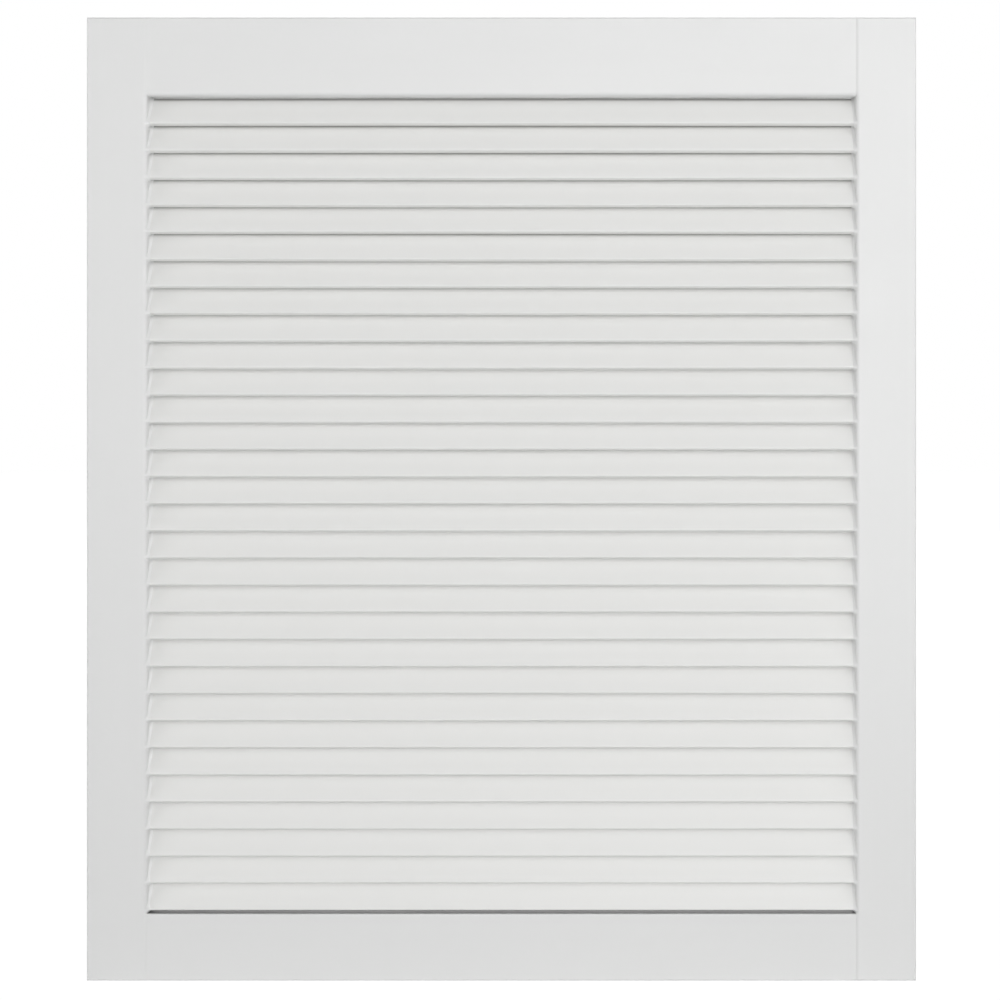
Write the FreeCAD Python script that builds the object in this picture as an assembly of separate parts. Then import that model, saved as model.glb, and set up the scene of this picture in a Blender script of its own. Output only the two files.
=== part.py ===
"""Louvred door leaf: two stiles and two rails round a bank of fixed, tilted slats.

Millimetres. X runs across the leaf from its hinge edge, Y from the front face (-Y) to the back face
(+Y), and Z up. The origin is the centre of the hinge edge.
"""
import FreeCAD
import Part

import math
import os

from FreeCAD import Vector

# Leaf
DOOR_WIDTH = 594.0
DOOR_HEIGHT = 690.0
DOOR_THICKNESS = 21.0

# Frame members, with their rounded arrises
STILE_WIDTH = 43.0
TOP_RAIL_HEIGHT = 55.0
BOTTOM_RAIL_HEIGHT = 48.0
OUTER_ARRIS = 1.5
STILE_INNER_ARRIS = 2.5
RAIL_INNER_ARRIS = 2.0

# Slats: the tilt is in degrees from upright, with the lower edge towards the front
SLAT_COUNT = 30
SLAT_THICKNESS = 4.0
SLAT_TILT = 27.0
SLAT_EDGE_RADIUS = 0.9
FRONT_RECESS = 1.7
BACK_RECESS = 6.2
RAIL_GAP = 1.0

# Housings: the angled pockets in the stiles that hold the slat ends
HOUSING_DEPTH = 7.0
HOUSING_CLEARANCE = 0.15
HOUSING_CORNER = 0.6
SLAT_END_CLEARANCE = 0.3

# The opening inside the frame
OPENING_WIDTH = DOOR_WIDTH - 2 * STILE_WIDTH
OPENING_TOP = DOOR_HEIGHT / 2 - TOP_RAIL_HEIGHT
OPENING_BOTTOM = -DOOR_HEIGHT / 2 + BOTTOM_RAIL_HEIGHT

# The slat section: its flats between the rounded edges, and how wide a slat has to be to reach from
# the recess behind the front face to the recess before the back face. A housing is larger all round.
SLAT_DEPTH = DOOR_THICKNESS - FRONT_RECESS - BACK_RECESS
SLAT_Y = (FRONT_RECESS - BACK_RECESS) / 2
TILT_SINE = math.sin(math.radians(SLAT_TILT))
TILT_COSINE = math.cos(math.radians(SLAT_TILT))
EDGE_FLAT = SLAT_THICKNESS - 2 * SLAT_EDGE_RADIUS
FACE_FLAT = (SLAT_DEPTH - 2 * SLAT_EDGE_RADIUS - EDGE_FLAT * TILT_COSINE) / TILT_SINE
SLAT_WIDTH = FACE_FLAT + 2 * SLAT_EDGE_RADIUS
SLAT_RISE = FACE_FLAT * TILT_COSINE + EDGE_FLAT * TILT_SINE + 2 * SLAT_EDGE_RADIUS
HOUSING_THICKNESS = SLAT_THICKNESS + 2 * HOUSING_CLEARANCE
HOUSING_WIDTH = SLAT_WIDTH + 2 * HOUSING_CLEARANCE

# The bank of slats fills the opening, less a gap at each rail
TOP_SLAT_Z = OPENING_TOP - RAIL_GAP - SLAT_RISE / 2
BOTTOM_SLAT_Z = OPENING_BOTTOM + RAIL_GAP + SLAT_RISE / 2
SLAT_PITCH = (TOP_SLAT_Z - BOTTOM_SLAT_Z) / (SLAT_COUNT - 1)
SLAT_HEIGHTS = [TOP_SLAT_Z - index * SLAT_PITCH for index in range(SLAT_COUNT)]

X_AXIS = Vector(1, 0, 0)
Z_AXIS = Vector(0, 0, 1)
SAME_PLACE = 1e-6


def edges_along(solid, axis, passes=None):
    """Straight edges of a solid that run along an axis, where asked only those that a test passes."""
    found = []
    for edge in solid.Edges:
        slant = edge.tangentAt(edge.FirstParameter).cross(axis).Length
        if slant < SAME_PLACE and (passes is None or passes(edge.CenterOfMass)):
            found.append(edge)
    return found


def leaf_envelope():
    """The whole leaf as one slab, with the arrises round its front and back faces rounded."""
    corner = Vector(0, -DOOR_THICKNESS / 2, -DOOR_HEIGHT / 2)
    slab = Part.makeBox(DOOR_WIDTH, DOOR_THICKNESS, DOOR_HEIGHT, corner)
    return slab.makeFillet(OUTER_ARRIS, edges_along(slab, X_AXIS) + edges_along(slab, Z_AXIS))


def long_bar(length, thickness, width):
    """An upright bar along X about the origin, and its four long edges."""
    bar = Part.makeBox(length, thickness, width, Vector(-length / 2, -thickness / 2, -width / 2))
    return bar, edges_along(bar, X_AXIS)


def tilted(bar, middle_x, height):
    """A bar turned to the slats' tilt and moved to its place in the leaf."""
    bar.rotate(Vector(0, 0, 0), X_AXIS, -SLAT_TILT)
    bar.translate(Vector(middle_x, SLAT_Y, height))
    return bar


def slat(height):
    """One slat, long enough to reach into the housings of both stiles."""
    length = OPENING_WIDTH + 2 * (HOUSING_DEPTH - SLAT_END_CLEARANCE)
    bar, long_edges = long_bar(length, SLAT_THICKNESS, SLAT_WIDTH)
    return tilted(bar.makeFillet(SLAT_EDGE_RADIUS, long_edges), DOOR_WIDTH / 2, height)


def housing(inner_x, height):
    """The pocket that holds a slat end, centred on a stile's inner face, with its corners eased."""
    bar, long_edges = long_bar(2 * HOUSING_DEPTH, HOUSING_THICKNESS, HOUSING_WIDTH)
    return tilted(bar.makeChamfer(HOUSING_CORNER, long_edges), inner_x, height)


def stile(low_x, inner_x):
    """A full-height stile, rounded along its inner arrises, with a housing for each slat end."""
    corner = Vector(low_x, -DOOR_THICKNESS / 2, -DOOR_HEIGHT / 2)
    blank = Part.makeBox(STILE_WIDTH, DOOR_THICKNESS, DOOR_HEIGHT, corner)
    inner_edges = edges_along(blank, Z_AXIS, lambda middle: abs(middle.x - inner_x) < SAME_PLACE)
    blank = blank.makeFillet(STILE_INNER_ARRIS, inner_edges)
    pockets = [housing(inner_x, height) for height in SLAT_HEIGHTS]
    return blank.common(leaf_envelope()).cut(pockets)


def rail(low_z, height, inner_z):
    """A rail between the stiles, rounded along the arrises that face the slats."""
    corner = Vector(STILE_WIDTH, -DOOR_THICKNESS / 2, low_z)
    blank = Part.makeBox(OPENING_WIDTH, DOOR_THICKNESS, height, corner)
    inner_edges = edges_along(blank, X_AXIS, lambda middle: abs(middle.z - inner_z) < SAME_PLACE)
    return blank.makeFillet(RAIL_INNER_ARRIS, inner_edges).common(leaf_envelope())


def main():
    """Builds every piece of the leaf and writes one file for each."""
    nodes = {
        "left_stile": stile(0.0, STILE_WIDTH),
        "right_stile": stile(DOOR_WIDTH - STILE_WIDTH, DOOR_WIDTH - STILE_WIDTH),
        "top_rail": rail(OPENING_TOP, TOP_RAIL_HEIGHT, OPENING_TOP),
        "bottom_rail": rail(-DOOR_HEIGHT / 2, BOTTOM_RAIL_HEIGHT, OPENING_BOTTOM),
    }
    for number, height in enumerate(SLAT_HEIGHTS, start=1):
        nodes[f"slat_{number:02d}"] = slat(height)
    os.makedirs("parts", exist_ok=True)
    for name, shape in nodes.items():
        shape.exportStep(f"parts/{name}.step")
    print(f"slat {SLAT_WIDTH:.2f} wide, rise {SLAT_RISE:.2f}, pitch {SLAT_PITCH:.3f}")


main()
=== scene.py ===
"""Looks of a louvred door leaf: painted frame, bank of slats, paint in the corners, studio and camera.

Metres, in the leaf's own frame: X across from the hinge edge, Y from the front face to the back face,
Z up. Places come from the boxes of the leaf's pieces and from the sizes named in the classes below.
"""
import logging
import math
import random
from dataclasses import dataclass, field
from enum import Enum
from typing import Any

import bmesh
import bpy
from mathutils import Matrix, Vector


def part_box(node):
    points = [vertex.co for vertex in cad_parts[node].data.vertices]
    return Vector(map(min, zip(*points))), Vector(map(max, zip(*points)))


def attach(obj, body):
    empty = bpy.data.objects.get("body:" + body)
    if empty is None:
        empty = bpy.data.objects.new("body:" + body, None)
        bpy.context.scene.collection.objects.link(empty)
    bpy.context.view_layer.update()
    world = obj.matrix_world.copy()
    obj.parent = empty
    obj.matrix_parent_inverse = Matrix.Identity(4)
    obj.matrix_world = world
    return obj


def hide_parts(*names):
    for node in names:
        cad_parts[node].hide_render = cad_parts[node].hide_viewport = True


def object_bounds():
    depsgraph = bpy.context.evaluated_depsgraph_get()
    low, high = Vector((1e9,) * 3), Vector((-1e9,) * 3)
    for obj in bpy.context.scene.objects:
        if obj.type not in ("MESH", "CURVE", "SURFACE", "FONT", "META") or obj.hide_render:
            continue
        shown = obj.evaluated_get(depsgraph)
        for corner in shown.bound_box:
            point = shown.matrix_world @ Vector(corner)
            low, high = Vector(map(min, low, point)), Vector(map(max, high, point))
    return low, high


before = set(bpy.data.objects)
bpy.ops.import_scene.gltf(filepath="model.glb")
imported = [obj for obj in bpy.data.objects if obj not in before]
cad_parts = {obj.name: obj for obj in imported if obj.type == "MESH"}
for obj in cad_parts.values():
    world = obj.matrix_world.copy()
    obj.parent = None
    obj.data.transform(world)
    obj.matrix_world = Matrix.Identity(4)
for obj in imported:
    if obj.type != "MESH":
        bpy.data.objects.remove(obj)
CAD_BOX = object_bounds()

LOG = logging.getLogger("louvred_door")
BODY = "root"
MILLIMETRE = 0.001
SAME_PLACE = 0.001 * MILLIMETRE
SHARP_ANGLE = math.radians(40)
STILE_ARRIS = 2.5 * MILLIMETRE
RAIL_ARRIS = 2.0 * MILLIMETRE
OUTER_ARRIS = 1.5 * MILLIMETRE
BLACK = (0.0, 0.0, 0.0, 1.0)
WHITE = (1.0, 1.0, 1.0, 1.0)


class GrainRun(Enum):
    """Which way the wood's grain runs under the paint."""

    UPRIGHT = "upright"
    ACROSS = "across"


class SocketKind(Enum):
    """Socket types of the effect groups."""

    VALUE = "NodeSocketFloat"
    COLOUR = "NodeSocketColor"
    PLACE = "NodeSocketVector"


class Side(Enum):
    """A stile, by the way from its inner face into the opening."""

    LEFT = 1
    RIGHT = -1


class NodeCanvas:
    """Adds nodes to one shader tree and joins them.

    The Mix node has sockets of the same name for each kind of data, so its colours go by number.
    """

    MIX_FIRST = 6
    MIX_SECOND = 7
    MIX_RESULT = 2

    def __init__(self, tree: bpy.types.NodeTree) -> None:
        """Clears the tree, so that only the nodes added here are in it."""
        self.tree = tree
        self.tree.nodes.clear()

    def add(self, kind: str, inputs: dict[str | int, Any] | None = None, **settings: Any) -> bpy.types.Node:
        """Adds one node.

        Args:
            kind: the node's type without the common start of its name.
            inputs: for each input, by name or number, a value or the socket that feeds it.
            settings: the node's own properties, such as its operation.

        Returns:
            The new node.
        """
        node = self.tree.nodes.new(f"ShaderNode{kind}")
        for name, value in settings.items():
            setattr(node, name, value)
        for key, value in (inputs or {}).items():
            if isinstance(value, bpy.types.NodeSocket):
                self.tree.links.new(value, node.inputs[key])
            else:
                node.inputs[key].default_value = value
        return node

    def math(self, operation: str, *values: Any) -> bpy.types.NodeSocket:
        """Adds a Math node.

        Args:
            operation: Blender's name of the sum.
            values: numbers or sockets, in the order of the node's inputs.

        Returns:
            The socket with the result.
        """
        return self.add("Math", dict(enumerate(values)), operation=operation).outputs[0]

    def blend(self, share: Any, first: Any, second: Any) -> bpy.types.NodeSocket:
        """Adds a Mix node for colours.

        Args:
            share: how much of the second colour is in the mix, as a number or a socket.
            first: the first colour or its socket.
            second: the second colour or its socket.

        Returns:
            The socket with the mixed colour.
        """
        inputs = {"Factor": share, self.MIX_FIRST: first, self.MIX_SECOND: second}
        return self.add("Mix", inputs, data_type="RGBA").outputs[self.MIX_RESULT]

    def noise(self, place: bpy.types.NodeSocket, scale: Any, detail: float) -> bpy.types.NodeSocket:
        """Adds a Noise Texture.

        Args:
            place: the socket with the point on the surface.
            scale: how many features there are to a metre, as a number or a socket.
            detail: how many finer octaves are added.

        Returns:
            The socket with the noise, shifted to lie about zero.
        """
        texture = self.add("TexNoise", {"Vector": place, "Scale": scale, "Detail": detail})
        return self.math("SUBTRACT", texture.outputs[0], 0.5)


class EffectGroup:
    """A shader node group with named inputs and outputs, built once and placed in every paint."""

    def __init__(self, name: str, inputs: dict[str, SocketKind], outputs: dict[str, SocketKind]) -> None:
        """Makes the group and its sockets.

        Args:
            name: the group's name.
            inputs: the input sockets, by name.
            outputs: the output sockets, by name.
        """
        self.tree = bpy.data.node_groups.new(name, "ShaderNodeTree")
        self.canvas = NodeCanvas(self.tree)
        for direction, sockets in (("INPUT", inputs), ("OUTPUT", outputs)):
            for label, kind in sockets.items():
                self.tree.interface.new_socket(label, in_out=direction, socket_type=kind.value)
        self.given = self.tree.nodes.new("NodeGroupInput").outputs
        self.result = self.tree.nodes.new("NodeGroupOutput").inputs

    def give(self, label: str, socket: bpy.types.NodeSocket) -> None:
        """Joins a socket to one of the group's outputs."""
        self.tree.links.new(socket, self.result[label])

    def place(self, canvas: NodeCanvas, inputs: dict[str, Any]) -> bpy.types.bpy_prop_collection:
        """Places the group in a material.

        Args:
            canvas: the material's nodes.
            inputs: a value or a feeding socket for each of the group's inputs.

        Returns:
            The placed group's output sockets.
        """
        return canvas.add("Group", inputs, node_tree=self.tree).outputs


class PaintSkin(EffectGroup):
    """The skin of sprayed satin paint: fine peel, slow ripple and a gloss that drifts."""

    RIPPLE_PER_PEEL = 0.12
    RIPPLE_SHARE = 0.8
    GLOSS_PATCHES = 28.0

    def __init__(self) -> None:
        """Builds the group."""
        super().__init__(
            "paint_skin",
            {"Place": SocketKind.PLACE, "Peel per Metre": SocketKind.VALUE, "Depth": SocketKind.VALUE},
            {"Height": SocketKind.VALUE, "Gloss": SocketKind.VALUE},
        )
        canvas, place, density = self.canvas, self.given["Place"], self.given["Peel per Metre"]
        peel = canvas.noise(place, density, 2.0)
        ripple = canvas.noise(place, canvas.math("MULTIPLY", density, self.RIPPLE_PER_PEEL), 1.0)
        both = canvas.math("MULTIPLY_ADD", ripple, self.RIPPLE_SHARE, peel)
        self.give("Height", canvas.math("MULTIPLY", both, self.given["Depth"]))
        self.give("Gloss", canvas.noise(place, self.GLOSS_PATCHES, 3.0))


class GrainTelegraph(EffectGroup):
    """Softwood grain that shows through the paint, along the X axis of the place that it is given."""

    STRETCH = (0.045, 1.0, 1.0)
    WANDER = 9.0
    WANDER_REACH = 0.006
    FIBRES = 900.0
    FIBRE_SHARE = 0.45

    def __init__(self) -> None:
        """Builds the group."""
        super().__init__(
            "grain_telegraph",
            {"Place": SocketKind.PLACE, "Rings per Metre": SocketKind.VALUE, "Depth": SocketKind.VALUE},
            {"Height": SocketKind.VALUE, "Tone": SocketKind.VALUE},
        )
        canvas = self.canvas
        lengths = {0: self.given["Place"], 1: self.STRETCH}
        drawn = canvas.add("VectorMath", lengths, operation="MULTIPLY").outputs[0]
        wander = canvas.math("MULTIPLY", canvas.noise(drawn, self.WANDER, 2.0), self.WANDER_REACH)
        bent = canvas.add("VectorMath", {0: drawn, 1: wander}, operation="ADD").outputs[0]
        rings = canvas.noise(bent, self.given["Rings per Metre"], 1.0)
        fibres = canvas.noise(bent, self.FIBRES, 2.0)
        figure = canvas.math("MULTIPLY_ADD", fibres, self.FIBRE_SHARE, rings)
        self.give("Height", canvas.math("MULTIPLY", figure, self.given["Depth"]))
        self.give("Tone", figure)


class ShadeDrift(EffectGroup):
    """A slow drift of the paint's shade over the leaf, with a trace of the wood's figure."""

    PATCHES = 3.5
    FIGURE_SHARE = 0.35

    def __init__(self) -> None:
        """Builds the group."""
        super().__init__(
            "shade_drift",
            {"Place": SocketKind.PLACE, "Figure": SocketKind.VALUE, "Amount": SocketKind.VALUE,
             "Colour": SocketKind.COLOUR, "Deep Colour": SocketKind.COLOUR},
            {"Colour": SocketKind.COLOUR},
        )
        canvas = self.canvas
        patches = canvas.noise(self.given["Place"], self.PATCHES, 2.0)
        blend = canvas.math("MULTIPLY_ADD", self.given["Figure"], self.FIGURE_SHARE, patches)
        share = canvas.math("MULTIPLY_ADD", blend, self.given["Amount"], 0.5)
        self.give("Colour", canvas.blend(share, self.given["Colour"], self.given["Deep Colour"]))


class PaintedCreviceShade(EffectGroup):
    """Painted shade: dark grey laid on one band of depth behind the leaf's front, in the crevices between
    slats and the slits by the rails.
    """

    SHADE_TINT = (1.0, 1.0, 0.955, 1.0)

    def __init__(self) -> None:
        """Builds the group."""
        super().__init__(
            "painted_crevice_shade",
            {"Depth": SocketKind.VALUE, "Facing": SocketKind.VALUE, "Front": SocketKind.VALUE,
             "Full": SocketKind.VALUE, "Back": SocketKind.VALUE, "Tone": SocketKind.VALUE,
             "Colour": SocketKind.COLOUR},
            {"Colour": SocketKind.COLOUR},
        )
        canvas, depth = self.canvas, self.given["Depth"]
        limits = {"Value": depth, "From Min": self.given["Front"], "From Max": self.given["Full"]}
        rise = canvas.add("MapRange", limits, interpolation_type="SMOOTHSTEP").outputs[0]
        within = canvas.math("LESS_THAN", depth, self.given["Back"])
        share = canvas.math("MULTIPLY", canvas.math("MULTIPLY", rise, within), self.given["Facing"])
        # the dark grey that stands in for the shade deep in the crevices
        coat = canvas.blend(self.given["Tone"], BLACK, self.SHADE_TINT)
        self.give("Colour", canvas.blend(share, self.given["Colour"], coat))


@dataclass(frozen=True)
class PaintEffects:
    """The effect groups that every paint on the leaf shares."""

    skin: PaintSkin
    grain: GrainTelegraph
    drift: ShadeDrift
    # painted shade for the crevices and slits
    crevice_shade: PaintedCreviceShade


class PaintedShadeZone(Enum):
    """Which faces of a member are darkened with painted shade, in the crevices and slits where shade falls.
    """

    NONE = "none"
    BEHIND_NEXT_SLAT = "behind_next_slat"
    SLIT_UNDER_RAIL = "slit_under_rail"
    SLIT_OVER_RAIL = "slit_over_rail"


@dataclass(frozen=True)
class CreviceShadeBand:
    """Where along Y the painted shade starts, is full and ends, in metres, and its tone."""

    front: float
    full: float
    back: float
    tone: float


# Painted shade bands: how deep behind the front the crevices are darkened, and how dark; the slit over the
# bottom rail is nearly black.
CREVICE_SHADE_BANDS = {
    PaintedShadeZone.BEHIND_NEXT_SLAT: CreviceShadeBand(
        front=-0.50 * MILLIMETRE, full=0.60 * MILLIMETRE, back=3.0 * MILLIMETRE, tone=0.35),
    PaintedShadeZone.SLIT_UNDER_RAIL: CreviceShadeBand(
        front=-4.0 * MILLIMETRE, full=-1.0 * MILLIMETRE, back=3.0 * MILLIMETRE, tone=0.25),
    PaintedShadeZone.SLIT_OVER_RAIL: CreviceShadeBand(
        front=-9.4 * MILLIMETRE, full=-8.8 * MILLIMETRE, back=0.0, tone=0.06),
}


@dataclass(frozen=True)
class SatinPaint:
    """White satin paint on softwood. Depths and the softness of edges are in millimetres."""

    name: str
    colour: tuple[float, float, float]
    grain_run: GrainRun
    # which faces get painted shade in their crevices
    shade_zone: PaintedShadeZone = PaintedShadeZone.NONE
    edge_softness: float = 0.0
    deep_share: float = 0.975
    drift: float = 0.9
    roughness: float = 0.42
    gloss_drift: float = 0.16
    peel_per_metre: float = 520.0
    peel_depth: float = 0.006
    rings_per_metre: float = 190.0
    grain_depth: float = 0.012
    level_facing: float = 0.97

    def material(self, effects: PaintEffects) -> bpy.types.Material:
        """Mixes the paint.

        Args:
            effects: the shared effect groups.

        Returns:
            The paint's material.
        """
        material = bpy.data.materials.new(self.name)
        material.use_nodes = True
        canvas = NodeCanvas(material.node_tree)
        place = canvas.add("TexCoord").outputs["Object"]
        grain = effects.grain.place(canvas, {
            "Place": self._along_grain(canvas, place),
            "Rings per Metre": self.rings_per_metre,
            "Depth": self.grain_depth,
        })
        skin = effects.skin.place(canvas, {
            "Place": place, "Peel per Metre": self.peel_per_metre, "Depth": self.peel_depth,
        })
        deep = (self.deep_share * part for part in self.colour)
        shade = effects.drift.place(canvas, {
            "Place": place, "Figure": grain["Tone"], "Amount": self.drift,
            "Colour": (*self.colour, 1.0), "Deep Colour": (*deep, 1.0),
        })
        height = canvas.math("ADD", skin["Height"], grain["Height"])
        bump = canvas.add("Bump", {"Height": height, "Distance": MILLIMETRE})
        if self.edge_softness:
            soft = canvas.add("Bevel", {"Radius": self._soft_radius(canvas, place)})
            canvas.tree.links.new(soft.outputs["Normal"], bump.inputs["Normal"])
        shader = canvas.add("BsdfPrincipled", {
            "Base Color": self._with_crevice_shade(canvas, effects, place, shade["Colour"]),
            "Roughness": canvas.math("MULTIPLY_ADD", skin["Gloss"], self.gloss_drift, self.roughness),
            "Normal": bump.outputs["Normal"],
        })
        canvas.add("OutputMaterial", {"Surface": shader.outputs["BSDF"]})
        return material

    def _soft_radius(self, canvas: NodeCanvas, place: bpy.types.NodeSocket) -> bpy.types.NodeSocket:
        """How widely edges are softened at a place: round the opening only.

        Args:
            canvas: the material's nodes.
            place: the socket with the point on the surface.

        Returns:
            The socket with the radius.
        """
        level = canvas.add("SeparateXYZ", {"Vector": place}).outputs["Z"]
        above = canvas.math("GREATER_THAN", level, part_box("bottom_rail")[1].z)
        below = canvas.math("LESS_THAN", level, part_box("top_rail")[0].z)
        within = canvas.math("MULTIPLY", above, below)
        return canvas.math("MULTIPLY", within, self.edge_softness * MILLIMETRE)

    def _with_crevice_shade(self, canvas: NodeCanvas, effects: PaintEffects, place: bpy.types.NodeSocket,
                     colour: bpy.types.NodeSocket) -> bpy.types.NodeSocket:
        """Darkens the colour with painted shade on the faces deep in the crevices and slits.

        Args:
            canvas: the material's nodes.
            effects: the shared effect groups.
            place: the socket with the point on the surface.
            colour: the socket with the paint's own colour.

        Returns:
            The socket with the colour that shows.
        """
        if self.shade_zone is PaintedShadeZone.NONE:
            return colour
        band = CREVICE_SHADE_BANDS[self.shade_zone]
        normal = canvas.add("NewGeometry").outputs["Normal"]
        way = canvas.add("SeparateXYZ", {"Vector": normal}).outputs
        parts = canvas.add("SeparateXYZ", {"Vector": place}).outputs
        if self.shade_zone is PaintedShadeZone.BEHIND_NEXT_SLAT:
            facing = canvas.math("LESS_THAN", way["Y"], 0.0)
        else:
            inward = canvas.math("MULTIPLY", way["Z"], canvas.math("SIGN", parts["Z"]))
            facing = canvas.math("LESS_THAN", inward, -self.level_facing)
        return effects.crevice_shade.place(canvas, {
            "Depth": parts["Y"], "Facing": facing, "Front": band.front, "Full": band.full, "Back": band.back,
            "Tone": band.tone, "Colour": colour,
        })["Colour"]

    def _along_grain(self, canvas: NodeCanvas, place: bpy.types.NodeSocket) -> bpy.types.NodeSocket:
        """Turns a place so that its X axis runs along the grain.

        Args:
            canvas: the material's nodes.
            place: the socket with the point on the surface.

        Returns:
            The socket with the turned place.
        """
        if self.grain_run is GrainRun.ACROSS:
            return place
        parts = canvas.add("SeparateXYZ", {"Vector": place}).outputs
        return canvas.add("CombineXYZ", {"X": parts["Z"], "Y": parts["X"], "Z": parts["Y"]}).outputs["Vector"]


@dataclass(frozen=True)
class Outline:
    """The cross-section of a straight bar along X: its points in (y, z), in order round its middle."""

    points: tuple[Vector, ...]
    middle: Vector

    @classmethod
    def of_node(cls, name: str) -> "Outline":
        """Reads an outline from the low-X end of a piece of the leaf.

        Args:
            name: the piece's node.

        Returns:
            The outline, with its points in turn.
        """
        low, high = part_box(name)
        middle = Vector(((low.y + high.y) / 2, (low.z + high.z) / 2))
        end = [vertex.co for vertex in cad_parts[name].data.vertices if vertex.co.x - low.x < SAME_PLACE]
        places = {tuple(round(part / SAME_PLACE) for part in (point.y, point.z)) for point in end}
        points = [Vector(place) * SAME_PLACE for place in places]
        points.sort(key=lambda point: math.atan2(point.y - middle.y, point.x - middle.x))
        return cls(tuple(points), middle)

    def outward(self) -> list[Vector]:
        """Finds which way the surface faces at each point.

        Returns:
            The unit normals, away from the middle.
        """
        normals = []
        for before, after in zip(self.points[-1:] + self.points[:-1], self.points[1:] + self.points[:1]):
            along = after - before
            normals.append(Vector((along.y, -along.x)).normalized())
        return normals


def inner_faces() -> dict[Side, float]:
    """Where the stiles' inner faces are.

    Returns:
        The X of each stile's inner face.
    """
    return {
        Side.LEFT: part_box("left_stile")[1].x,
        Side.RIGHT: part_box("right_stile")[0].x,
    }


def rail_heights(rail: str) -> tuple[float, float]:
    """Where a rail's edges are.

    Args:
        rail: the rail's node.

    Returns:
        The Z of its edge at the opening and of its outer edge.
    """
    low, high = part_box(rail)
    return (low.z, high.z) if low.z > 0.0 else (high.z, low.z)


def arris_fall(radius: float, beyond: float) -> float:
    """How far a rounded edge has fallen back.

    Args:
        radius: the radius of the edge.
        beyond: how far past the start of the rounding the place is; a place before it has no fall.

    Returns:
        The fall from the face.
    """
    return radius - math.sqrt(radius ** 2 - max(0.0, beyond) ** 2)


def tube_faces(rings: int, ring_size: int, closed: bool) -> list[tuple[int, ...]]:
    """Faces of a tube whose vertices are listed ring by ring.

    Args:
        rings: how many rings there are.
        ring_size: how many vertices a ring has.
        closed: whether the last ring joins on to the first; the ends are capped where it doesn't.

    Returns:
        The faces, as vertex numbers.
    """
    faces = []
    for ring in range(rings if closed else rings - 1):
        here, there = ring * ring_size, (ring + 1) % rings * ring_size
        for index in range(ring_size):
            after = (index + 1) % ring_size
            faces.append((here + index, here + after, there + after, there + index))
    if not closed:
        faces.append(tuple(reversed(range(ring_size))))
        faces.append(tuple(range((rings - 1) * ring_size, rings * ring_size)))
    return faces


def new_piece(name: str, points: list[Vector], faces: list[tuple[int, ...]],
              material: bpy.types.Material) -> bpy.types.Object:
    """Makes one smooth-shaded piece that rides on the leaf.

    Args:
        name: the piece's name.
        points: its vertices.
        faces: its faces, as vertex numbers.
        material: its finish.

    Returns:
        The new object.
    """
    mesh = bpy.data.meshes.new(name)
    mesh.from_pydata(points, [], faces)
    shell = bmesh.new()
    shell.from_mesh(mesh)
    bmesh.ops.recalc_face_normals(shell, faces=shell.faces)
    shell.to_mesh(mesh)
    shell.free()
    mesh.materials.append(material)
    mesh.shade_smooth()
    mesh.set_sharp_from_angle(angle=SHARP_ANGLE)
    piece = bpy.data.objects.new(name, mesh)
    bpy.context.scene.collection.objects.link(piece)
    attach(piece, BODY)
    LOG.info("%s: %d vertices, %d faces", name, len(points), len(faces))
    return piece


@dataclass
class DoorFrame:
    """The two stiles and two rails, whose shapes stay as they are."""

    stile_paint: bpy.types.Material
    top_paint: bpy.types.Material
    bottom_paint: bpy.types.Material

    def dress(self) -> None:
        """Paints the four members."""
        finishes = {
            "left_stile": self.stile_paint,
            "right_stile": self.stile_paint,
            "top_rail": self.top_paint,
            "bottom_rail": self.bottom_paint,
        }
        for name, paint in finishes.items():
            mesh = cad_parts[name].data
            mesh.materials.clear()
            mesh.materials.append(paint)
            LOG.info("%s: %s", name, paint.name)


@dataclass(frozen=True)
class SlatLie:
    """How one slat lies in its housings: a drop, a roll, and a bow at its middle."""

    drop: float
    roll: float
    bow: float


@dataclass
class SlatBank:
    """The fixed slats, each a little out of true within the play of its housings."""

    paint: bpy.types.Material
    spans: int = 20
    drop_play: float = 0.10 * MILLIMETRE
    roll_play: float = math.radians(0.3)
    bow_play: float = 0.22 * MILLIMETRE
    seed: int = 30
    names: list[str] = field(init=False)
    outlines: dict[str, Outline] = field(init=False)

    def __post_init__(self) -> None:
        """Finds the slats among the leaf's nodes."""
        self.names = sorted(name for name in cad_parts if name.startswith("slat_"))
        self.outlines = {name: Outline.of_node(name) for name in self.names}

    def build(self) -> None:
        """Makes every slat and sets it in the place of its node."""
        chance = random.Random(self.seed)
        for name in self.names:
            lie = SlatLie(
                drop=chance.uniform(-self.drop_play, self.drop_play),
                roll=chance.uniform(-self.roll_play, self.roll_play),
                bow=chance.uniform(-self.bow_play, self.bow_play),
            )
            piece = self._slat(name, lie)
            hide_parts(name)

    def _slat(self, name: str, lie: SlatLie) -> bpy.types.Object:
        """Sweeps one slat along its length.

        Args:
            name: the slat's node.
            lie: how it lies in its housings.

        Returns:
            The new slat.
        """
        outline = self.outlines[name]
        low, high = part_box(name)
        turn_sine, turn_cosine = math.sin(lie.roll), math.cos(lie.roll)
        points = []
        for station in range(self.spans + 1):
            share = station / self.spans
            sag = lie.drop + lie.bow * math.sin(math.pi * share)
            for point in outline.points:
                arm = point - outline.middle
                points.append(Vector((
                    low.x + share * (high.x - low.x),
                    outline.middle.x + arm.x * turn_cosine - arm.y * turn_sine,
                    outline.middle.y + arm.x * turn_sine + arm.y * turn_cosine - sag,
                )))
        faces = tube_faces(self.spans + 1, len(outline.points), closed=False)
        return new_piece(f"{name}_painted", points, faces, self.paint)


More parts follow.
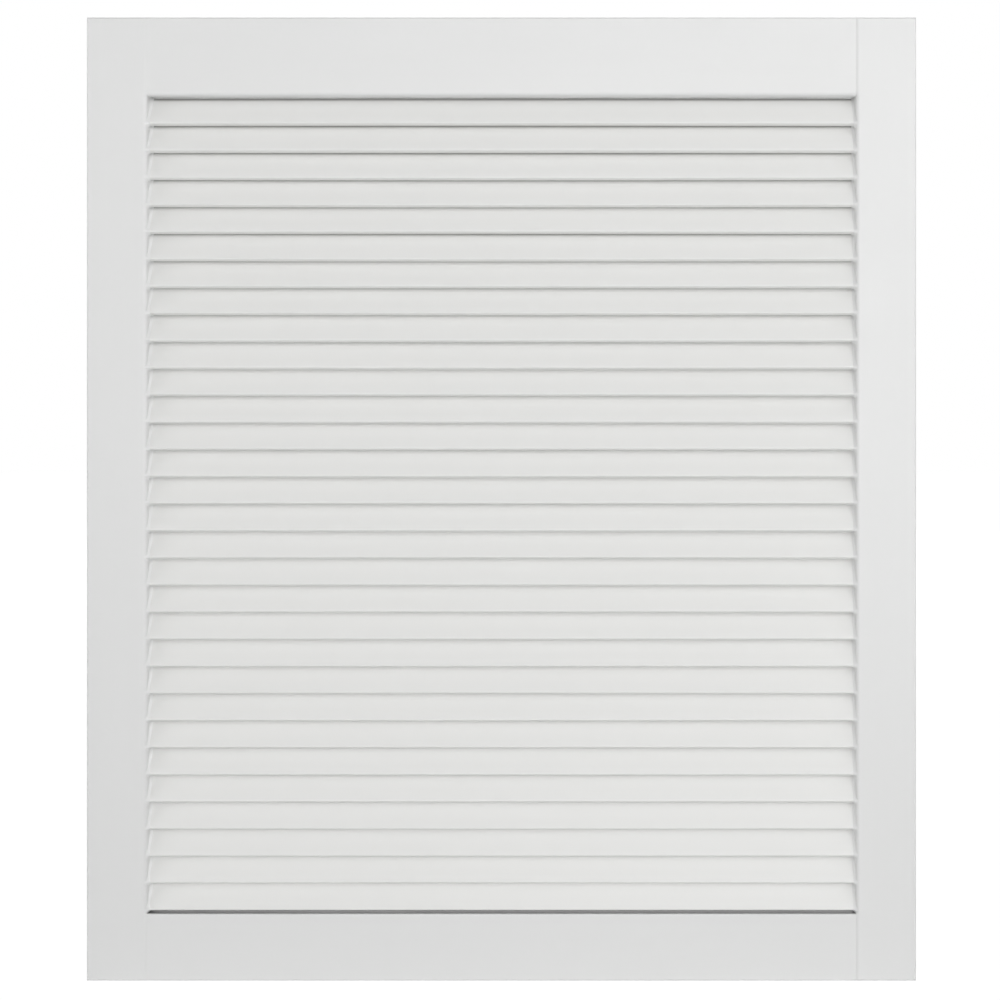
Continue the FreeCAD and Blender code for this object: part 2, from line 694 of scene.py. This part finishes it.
@dataclass
class PaintFillets:
    """The paint that has gathered in the corner where each slat enters a stile."""

    bank: SlatBank
    paint: bpy.types.Material
    reach: float = 2.0 * MILLIMETRE
    hollow: float = 0.36
    face_share: float = 0.8
    root: float = 0.4 * MILLIMETRE
    root_lift: float = 0.08 * MILLIMETRE
    sink: float = 0.12 * MILLIMETRE

    def build(self) -> None:
        """Makes the fillets of each stile as one piece."""
        for side, inner_x in inner_faces().items():
            points: list[Vector] = []
            faces: list[tuple[int, ...]] = []
            for outline in self.bank.outlines.values():
                start = len(points)
                ring = self._ring(outline, inner_x, side)
                points += ring
                size = len(ring) // len(outline.points)
                for face in tube_faces(len(outline.points), size, closed=True):
                    faces.append(tuple(start + corner for corner in face))
            piece = new_piece(f"{side.name.lower()}_paint_fillets", points, faces, self.paint)

    def _ring(self, outline: Outline, inner_x: float, side: Side) -> list[Vector]:
        """One hollow fillet round a slat.

        Args:
            outline: the slat's cross-section.
            inner_x: where the stile's inner face is.
            side: the stile.

        Returns:
            The fillet's vertices, four to each point of the outline.
        """
        half_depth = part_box("left_stile")[1].y
        ring = []
        for point, normal in zip(outline.points, outline.outward()):
            profile = (
                (self.reach, -self.sink),
                (self.hollow * self.reach, self.hollow * self.reach),
                (-self.sink, self.reach),
                (-self.root, self.root_lift),
            )
            room = self.face_share * (half_depth - abs(point.x))
            for out, lift in profile:
                place = point + min(lift, room) * normal
                fall = arris_fall(STILE_ARRIS, abs(place.x) - (half_depth - STILE_ARRIS))
                ring.append(Vector((inner_x + side.value * (out - fall), place.x, place.y)))
        return ring


@dataclass(frozen=True)
class RailEdge:
    """The front edge that thick paint gives a rail at the opening.

    It is eased by its own arris, reaches into the opening past the solid's edge and ends some way back from
    the front face. It bites into the rail, so that no gap shows.
    """

    rail: str
    arris: float
    reach: float
    back: float
    bite: float = 0.3 * MILLIMETRE
    steps: int = 10

    def build(self, paint: bpy.types.Material) -> None:
        """Makes the edge, from stile to stile.

        Args:
            paint: its finish.
        """
        ends = inner_faces().values()
        ring = self._ring()
        points = [Vector((x, y, z)) for x in ends for y, z in ring]
        faces = tube_faces(len(ends), len(ring), closed=False)
        piece = new_piece(f"{self.rail}_edge", points, faces, paint)

    def _ring(self) -> list[tuple[float, float]]:
        """The edge's cross-section, closed inside the rail.

        Returns:
            Its points, as (y, z).
        """
        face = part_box(self.rail)[0].y
        edge = rail_heights(self.rail)[0]
        inward = -math.copysign(1.0, edge)
        shown = edge + inward * self.reach
        ring = [(face, edge - inward * RAIL_ARRIS)]
        for step in range(self.steps + 1):
            turn = math.pi / 2 * step / self.steps
            ring.append((face + self.arris * (1.0 - math.cos(turn)),
                         shown - inward * self.arris * (1.0 - math.sin(turn))))
        ring.append((face + self.back, shown))
        ring.append((face + self.back, edge - inward * self.bite))
        ring.append((face + RAIL_ARRIS, edge - inward * self.bite))
        return ring


@dataclass(frozen=True)
class RailSpan:
    """The heights of a rail's edge at the opening and of its outer edge, and how far the first is eased."""

    inner_z: float
    outer_z: float
    inner_arris: float


@dataclass
class JointFills:
    """The filler and paint in the joints between rails and stiles, flush but for a shallow hollow."""

    paint: bpy.types.Material
    edges: tuple[RailEdge, ...]
    left_hollow: float = 0.3 * MILLIMETRE
    right_hollow: float = 0.55 * MILLIMETRE
    root: float = 2.7 * MILLIMETRE
    across: int = 8
    along_arris: int = 6

    def build(self) -> None:
        """Makes the fills of both faces of the leaf, joint by joint."""
        for edge in self.edges:
            low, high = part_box(edge.rail)
            inner_z, outer_z = rail_heights(edge.rail)
            shown_z = inner_z - math.copysign(edge.reach, inner_z)
            front = RailSpan(shown_z, outer_z, edge.arris)
            back = RailSpan(inner_z, outer_z, RAIL_ARRIS)
            for side, inner_x in inner_faces().items():
                self._fill(f"{edge.rail}_{side.name.lower()}_front_fill", side, inner_x, low.y, front)
                self._fill(f"{edge.rail}_{side.name.lower()}_back_fill", side, inner_x, high.y, back)

    def _fill(self, name: str, side: Side, inner_x: float, face_y: float, span: RailSpan) -> None:
        """Makes one fill.

        Args:
            name: the fill's name.
            side: the stile.
            inner_x: where the stile's inner face is.
            face_y: where the face of the leaf is.
            span: the rail's edges there.
        """
        rings = [self._ring(inner_x, side, face_y, z, span) for z in self._stations(span)]
        points = [point for ring in rings for point in ring]
        faces = tube_faces(len(rings), len(rings[0]), closed=False)
        piece = new_piece(name, points, faces, self.paint)

    def _stations(self, span: RailSpan) -> list[float]:
        """Heights of the rings, close together on the arrises.

        Args:
            span: the rail's edges.

        Returns:
            The heights, from the rail's inner edge to its outer edge.
        """
        out = math.copysign(1.0, span.outer_z)
        steps = [share / self.along_arris for share in range(self.along_arris + 1)]
        inner = [span.inner_z + out * span.inner_arris * step for step in steps]
        outer = [span.outer_z - out * OUTER_ARRIS * (1.0 - step) for step in steps]
        return inner + outer[:-1]

    def _ring(self, inner_x: float, side: Side, face_y: float, z: float, span: RailSpan) -> list[Vector]:
        """One cross-section of a fill.

        Args:
            inner_x: where the stile's inner face is.
            side: the stile.
            face_y: the face of the leaf.
            z: the height of the cross-section.
            span: the rail's edges.

        Returns:
            The vertices: the surface from the rail to the stile, and then the root.
        """
        rail_fall = arris_fall(span.inner_arris, span.inner_arris - abs(z - span.inner_z))
        outer_fall = arris_fall(OUTER_ARRIS, OUTER_ARRIS - abs(z - span.outer_z))
        hollow = self.left_hollow if side is Side.LEFT else self.right_hollow
        inward = -math.copysign(1.0, face_y)
        ring = []
        for step in range(self.across + 1):
            share = step / self.across
            depth = outer_fall + (hollow + rail_fall) * (1.0 - share) ** 2
            ring.append(Vector((inner_x - side.value * share * STILE_ARRIS, face_y + inward * depth, z)))
        ring.append(Vector((inner_x, face_y + inward * (self.root + outer_fall), z)))
        return ring


@dataclass(frozen=True)
class SoftBox:
    """One soft lamp, aimed at the middle of the leaf. Angles are in degrees, from straight in front."""

    name: str
    azimuth: float
    elevation: float
    watts: float
    size: tuple[float, float] = (1.5, 1.1)
    distance: float = 3.2

    def hang(self, target: Vector) -> None:
        """Hangs the lamp.

        Args:
            target: the point that it faces.
        """
        turn, rise = math.radians(self.azimuth), math.radians(self.elevation)
        way = Vector((math.sin(turn) * math.cos(rise), -math.cos(turn) * math.cos(rise), math.sin(rise)))
        data = bpy.data.lights.new(self.name, "AREA")
        data.shape = "RECTANGLE"
        data.size, data.size_y = self.size
        data.energy = self.watts
        lamp = bpy.data.objects.new(self.name, data)
        lamp.location = target + self.distance * way
        lamp.rotation_euler = (-way).to_track_quat("-Z", "Y").to_euler()
        lamp.visible_camera = False
        bpy.context.scene.collection.objects.link(lamp)
        LOG.info("%s: %.0f W", self.name, self.watts)


@dataclass
class Studio:
    """A pale floor, a white surround and soft light, more from the right than from the left."""

    boxes: tuple[SoftBox, ...]
    room_light: float = 0.03
    floor_size: float = 12.0
    floor_tone: float = 0.8
    floor_glow: float = 0.965
    shadow_share: float = 0.12
    glow_near: float = 0.6
    glow_far: float = 2.4

    def build(self) -> None:
        """Lays the floor, hangs the lamps and sets the surround."""
        low, high = CAD_BOX
        for box in self.boxes:
            box.hang((low + high) / 2)
        self._floor((low + high) / 2, low.z)
        self._surround()

    @staticmethod
    def _seen(canvas: NodeCanvas) -> bpy.types.NodeSocket:
        """Tells the rays that see the surround from those that it lights.

        Args:
            canvas: the nodes of the floor or of the surround.

        Returns:
            The socket with 1 for a ray straight from the camera, in a gloss or through glass.
        """
        path = canvas.add("LightPath").outputs
        shown = canvas.math("MAXIMUM", path["Is Camera Ray"], path["Is Glossy Ray"])
        return canvas.math("MAXIMUM", shown, path["Is Transmission Ray"])

    def _floor(self, middle: Vector, level: float) -> None:
        """Lays a floor that reads as white and keeps the leaf's shadow.

        Args:
            middle: the middle of the leaf.
            level: the height of the leaf's lower edge.
        """
        reach = self.floor_size / 2
        corners = [Vector((middle.x + x * reach, middle.y + y * reach, level))
                   for x, y in ((-1, -1), (1, -1), (1, 1), (-1, 1))]
        mesh = bpy.data.meshes.new("floor")
        mesh.from_pydata(corners, [], [(0, 1, 2, 3)])
        material = bpy.data.materials.new("floor")
        material.use_nodes = True
        canvas = NodeCanvas(material.node_tree)
        here = canvas.add("NewGeometry").outputs["Position"]
        away = canvas.add("VectorMath", {0: here, 1: middle}, operation="DISTANCE").outputs["Value"]
        fade = canvas.add("MapRange", {
            "Value": away, "From Min": self.glow_near, "From Max": self.glow_far,
            "To Min": self.floor_glow, "To Max": 1.0,
        })
        glow = canvas.add("Emission", {"Strength": fade.outputs["Result"]})
        veil = canvas.add("BsdfDiffuse", {"Color": (self.shadow_share,) * 3 + (1.0,)})
        shown = canvas.add("AddShader", {0: glow.outputs[0], 1: veil.outputs[0]})
        matt = canvas.add("BsdfDiffuse", {"Color": (self.floor_tone,) * 3 + (1.0,)})
        mixed = canvas.add("MixShader", {0: self._seen(canvas), 1: matt.outputs[0], 2: shown.outputs[0]})
        canvas.add("OutputMaterial", {"Surface": mixed.outputs[0]})
        mesh.materials.append(material)
        floor = bpy.data.objects.new("floor", mesh)
        bpy.context.scene.collection.objects.link(floor)
        LOG.info("floor: %.0f m square", self.floor_size)

    def _surround(self) -> None:
        """Sets a surround that is white to look at and lights the leaf a little from all round."""
        world = bpy.data.worlds.new("surround")
        world.use_nodes = True
        bpy.context.scene.world = world
        canvas = NodeCanvas(world.node_tree)
        strength = canvas.math("MULTIPLY_ADD", self._seen(canvas), 1.0 - self.room_light, self.room_light)
        light = canvas.add("Background", {"Color": WHITE, "Strength": strength})
        canvas.add("OutputWorld", {"Surface": light.outputs[0]})


@dataclass(frozen=True)
class PhotoCamera:
    """A camera square to the leaf, where the photograph's was. Points in the picture are in its pixels."""

    eye: tuple[float, float] = (620.0, 385.0)
    leaf_middle: tuple[float, float] = (501.35, 499.15)
    picture: float = 1000.0
    pixel: float = 0.71567 * MILLIMETRE
    distance: float = 1.05
    sensor: float = 36.0

    def place(self) -> None:
        """Sets up the camera and makes it the scene's own."""
        low, high = CAD_BOX
        middle = (low + high) / 2
        data = bpy.data.cameras.new("photo_camera")
        data.sensor_width = self.sensor
        data.lens = self.sensor * self.distance / (self.picture * self.pixel)
        data.shift_x = 0.5 - self.eye[0] / self.picture
        data.shift_y = self.eye[1] / self.picture - 0.5
        camera = bpy.data.objects.new("photo_camera", data)
        camera.location = (
            middle.x + (self.eye[0] - self.leaf_middle[0]) * self.pixel,
            low.y - self.distance,
            middle.z - (self.eye[1] - self.leaf_middle[1]) * self.pixel,
        )
        camera.rotation_euler = (math.pi / 2, 0.0, 0.0)
        bpy.context.scene.collection.objects.link(camera)
        bpy.context.scene.camera = camera
        LOG.info("camera: lens %.1f mm", data.lens)


# The slats' white is lighter than the frame's: partly painted light, making up for the light that the tilted
# slat faces lose, and partly the slats' slightly warmer tint.
FRAME_WHITE = (0.747, 0.750, 0.747)
SLAT_WHITE = (0.799, 0.800, 0.787)

LAMPS = (
    SoftBox("far_left_low", azimuth=-65.0, elevation=-4.0, watts=25.8),
    SoftBox("front_low", azimuth=0.0, elevation=-4.0, watts=28.1),
    SoftBox("right_low", azimuth=30.0, elevation=-4.0, watts=20.0),
    SoftBox("far_right_low", azimuth=65.0, elevation=-4.0, watts=12.0),
    SoftBox("far_left", azimuth=-65.0, elevation=18.0, watts=13.6),
    SoftBox("front", azimuth=0.0, elevation=18.0, watts=11.5),
    SoftBox("right", azimuth=30.0, elevation=18.0, watts=19.0),
    SoftBox("far_right", azimuth=65.0, elevation=18.0, watts=8.6),
    SoftBox("right_high", azimuth=30.0, elevation=42.0, watts=4.5),
    SoftBox("far_right_high", azimuth=65.0, elevation=70.0, watts=5.7),
    SoftBox("back", azimuth=180.0, elevation=-2.0, watts=30.0, size=(2.4, 1.0)),
    SoftBox("back_high", azimuth=180.0, elevation=45.0, watts=18.0, size=(2.4, 1.0)),
)

RAIL_EDGES = (
    RailEdge("top_rail", arris=3.0 * MILLIMETRE, reach=1.4 * MILLIMETRE, back=5.5 * MILLIMETRE),
    RailEdge("bottom_rail", arris=0.5 * MILLIMETRE, reach=0.0, back=1.0 * MILLIMETRE),
)


def main() -> None:
    """Dresses the leaf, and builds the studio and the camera."""
    logging.basicConfig(level=logging.INFO, format="%(name)s %(message)s")
    effects = PaintEffects(PaintSkin(), GrainTelegraph(), ShadeDrift(), PaintedCreviceShade())
    stile_paint, joint_paint, slat_paint, top_paint, bottom_paint = (paint.material(effects) for paint in (
        SatinPaint("stile_paint", FRAME_WHITE, GrainRun.UPRIGHT, edge_softness=1.8),
        SatinPaint("joint_paint", FRAME_WHITE, GrainRun.UPRIGHT),
        # The slat and rail paints are darkened with painted shade in their crevices and slits.
        SatinPaint("slat_paint", SLAT_WHITE, GrainRun.ACROSS, PaintedShadeZone.BEHIND_NEXT_SLAT),
        SatinPaint("top_rail_paint", FRAME_WHITE, GrainRun.ACROSS, PaintedShadeZone.SLIT_UNDER_RAIL),
        SatinPaint("bottom_rail_paint", FRAME_WHITE, GrainRun.ACROSS, PaintedShadeZone.SLIT_OVER_RAIL),
    ))
    DoorFrame(stile_paint, top_paint, bottom_paint).dress()
    for edge in RAIL_EDGES:
        edge.build(joint_paint)
    JointFills(joint_paint, RAIL_EDGES).build()
    bank = SlatBank(slat_paint)
    bank.build()
    PaintFillets(bank, joint_paint).build()
    Studio(LAMPS).build()
    PhotoCamera().place()
    bpy.context.scene.view_settings.view_transform = "Standard"


if __name__ == "__main__":
    main()
